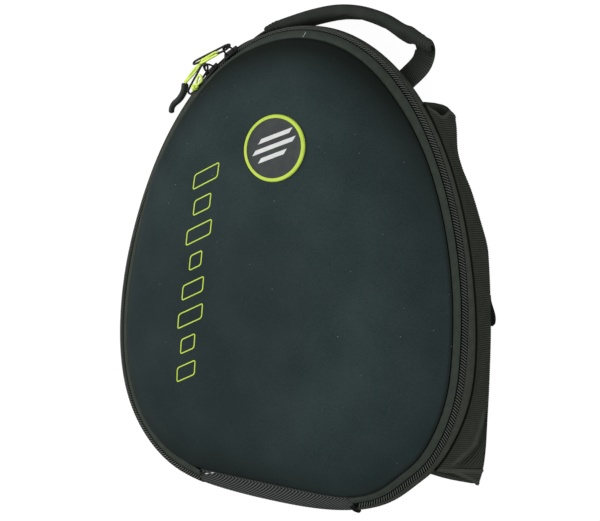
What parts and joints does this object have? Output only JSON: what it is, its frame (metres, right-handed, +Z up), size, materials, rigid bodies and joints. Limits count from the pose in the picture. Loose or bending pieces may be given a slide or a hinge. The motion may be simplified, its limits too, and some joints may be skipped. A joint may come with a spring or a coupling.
{
  "type": "motorcycle tank bag",
  "caption": "Egg-shaped motorcycle tank bag with a moulded domed lid, a zip round its rim, a padded carry handle and folded side wings, lying on its back.",
  "frame": {"origin": "middle of the bag's underside, on the surface it lies on", "axes": "+X to the bag's right seen from the front, +Y toward the handle end, +Z up out of the domed lid"},
  "size_m": [0.318, 0.3892, 0.086],
  "materials": {
    "lid_cloth": "smooth fine cloth over moulded foam, very dark green-black",
    "tape": "matte woven zip tape",
    "coil": "satin black nylon coil",
    "ribbed_cloth": "ribbed cloth, dark grey",
    "twill": "herringbone tape",
    "webbing": "cross-ribbed webbing",
    "sleeve_cloth": "smooth padded cloth",
    "black_metal": "glossy black enamel",
    "neon_cord": "neon yellow-green braided cord",
    "rubber": "matte dark grey rubber",
    "patch": "grey raised patch with a neon ring"
  },
  "bodies": {
    "root": {"lid_shell": "lid_cloth", "zip_tape_front": "tape", "zip_chain": "coil", "zip_tape_back": "tape", "hinge_panel": "twill", "back_shell": "ribbed_cloth", "wing_right": "ribbed_cloth", "wing_left": "ribbed_cloth", "side_tab": "webbing", "handle_strap": "webbing", "handle_sleeve": "sleeve_cloth", "slider_a": "black_metal", "slider_b": "black_metal", "pull_wire_a": "black_metal", "pull_wire_b": "black_metal", "pull_cord_a": "neon_cord", "pull_cord_b": "neon_cord", "pull_grip_a": "rubber", "pull_grip_b": "rubber", "badge": "patch"}
  },
  "joints": []
}
